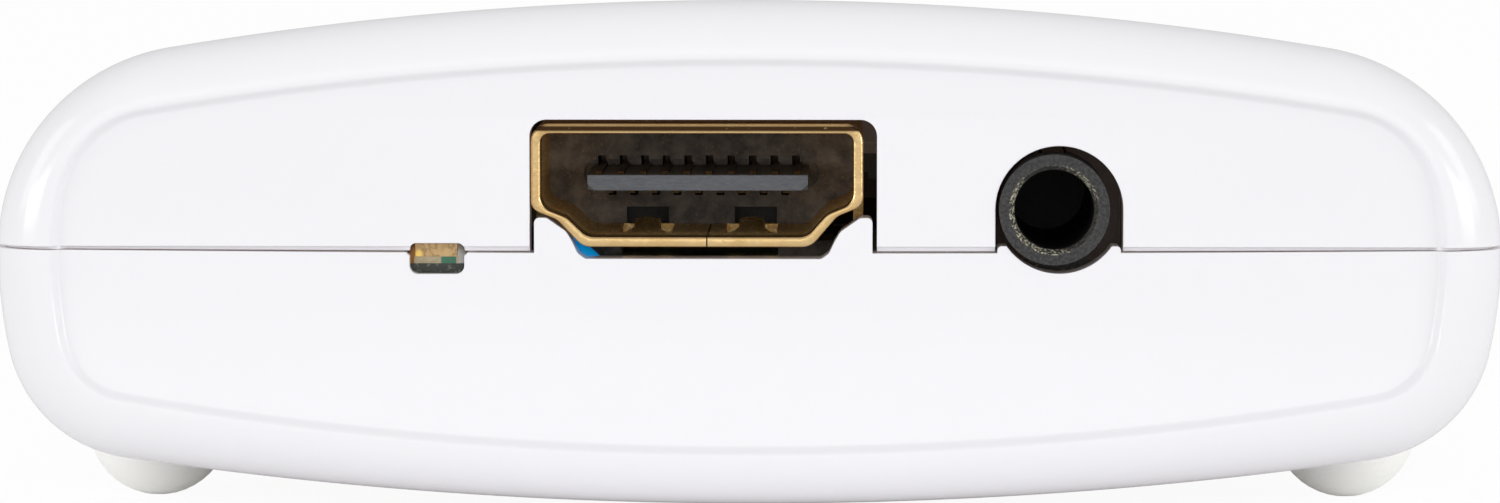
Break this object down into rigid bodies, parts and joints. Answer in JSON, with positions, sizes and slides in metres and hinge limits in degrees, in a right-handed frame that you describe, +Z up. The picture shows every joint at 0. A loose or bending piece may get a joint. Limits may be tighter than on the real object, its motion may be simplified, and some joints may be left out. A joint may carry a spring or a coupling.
{
  "type": "video capture box",
  "caption": "Small white two-shell box with a digital video socket, audio jack and status light in the front end and a data socket in the back.",
  "frame": {"origin": "centre of the footprint, on the surface the feet stand on", "axes": "+X to the right seen from the socket end, +Y from the socket end to the back end, +Z up"},
  "size_m": [0.0682, 0.092, 0.0234],
  "materials": {
    "white_gloss": "glossy moulded white",
    "foot_rubber": "matte warm white",
    "screw_steel": "plain steel",
    "board_green": "green solder mask over glass laminate",
    "gold_plate": "gold plated sheet",
    "black_moulding": "dark moulded, fine grain",
    "grey_moulding": "grey moulded",
    "nickel_strip": "nickel plated spring strip",
    "light_base": "pale laminate",
    "amber_resin": "clear amber resin",
    "blue_insulation": "smooth blue insulation",
    "nickel_plate": "nickel plated sheet",
    "chip_epoxy": "moulded epoxy",
    "ferrite": "sintered ferrite",
    "capacitor_can": "drawn can",
    "capacitor_ceramic": "fired ceramic"
  },
  "bodies": {
    "case": {"top_shell": "white_gloss", "bottom_shell": "white_gloss", "foot_front_left": "foot_rubber", "foot_front_right": "foot_rubber", "foot_rear_left": "foot_rubber", "foot_rear_right": "foot_rubber", "case_screws": "screw_steel", "board_screws": "screw_steel", "main_board": "board_green", "video_socket_shell": "gold_plate", "video_socket_insulator": "black_moulding", "video_socket_tongue": "grey_moulding", "video_socket_contacts": "gold_plate", "jack_housing": "black_moulding", "status_light_base": "light_base", "status_light_lens": "amber_resin", "jumper_wire": "blue_insulation", "data_socket_shell": "nickel_plate", "data_socket_insulator": "black_moulding", "data_socket_contacts": "gold_plate", "video_processor": "chip_epoxy", "data_controller": "chip_epoxy", "memory_chip": "chip_epoxy", "audio_converter": "chip_epoxy", "crystal": "nickel_plate", "power_inductor": "ferrite", "storage_capacitors": "capacitor_can", "ceramic_capacitors": "capacitor_ceramic", "chip_resistors": "chip_epoxy"},
    "retention_spring_left": {"retention_spring_left": "gold_plate"},
    "retention_spring_right": {"retention_spring_right": "gold_plate"},
    "jack_tip_leaf": {"jack_tip_leaf": "nickel_strip"},
    "jack_ring_leaf": {"jack_ring_leaf": "nickel_strip"},
    "jack_sleeve_leaf": {"jack_sleeve_leaf": "nickel_strip"}
  },
  "joints": [
    {"name": "left_spring_flex", "type": "hinge", "parent": "case", "child": "retention_spring_left", "pos_m": [-0.00451, -0.0426, 0.01265], "axis": [-1, 0, 0], "range_deg": [0, 4], "stiffness_Nm_per_rad": 0.0005},
    {"name": "right_spring_flex", "type": "hinge", "parent": "case", "child": "retention_spring_right", "pos_m": [0.00034, -0.0426, 0.01265], "axis": [-1, 0, 0], "range_deg": [0, 4], "stiffness_Nm_per_rad": 0.0005},
    {"name": "tip_leaf_flex", "type": "hinge", "parent": "case", "child": "jack_tip_leaf", "pos_m": [0.01141, -0.0373, 0.01402], "axis": [0, 0, 1], "range_deg": [0, 4], "stiffness_Nm_per_rad": 0.0005},
    {"name": "ring_leaf_flex", "type": "hinge", "parent": "case", "child": "jack_ring_leaf", "pos_m": [0.01621, -0.0405, 0.01402], "axis": [0, 0, -1], "range_deg": [0, 4], "stiffness_Nm_per_rad": 0.0005},
    {"name": "sleeve_leaf_flex", "type": "hinge", "parent": "case", "child": "jack_sleeve_leaf", "pos_m": [0.01381, -0.0431, 0.01642], "axis": [1, 0, 0], "range_deg": [0, 4], "stiffness_Nm_per_rad": 0.0005}
  ]
}
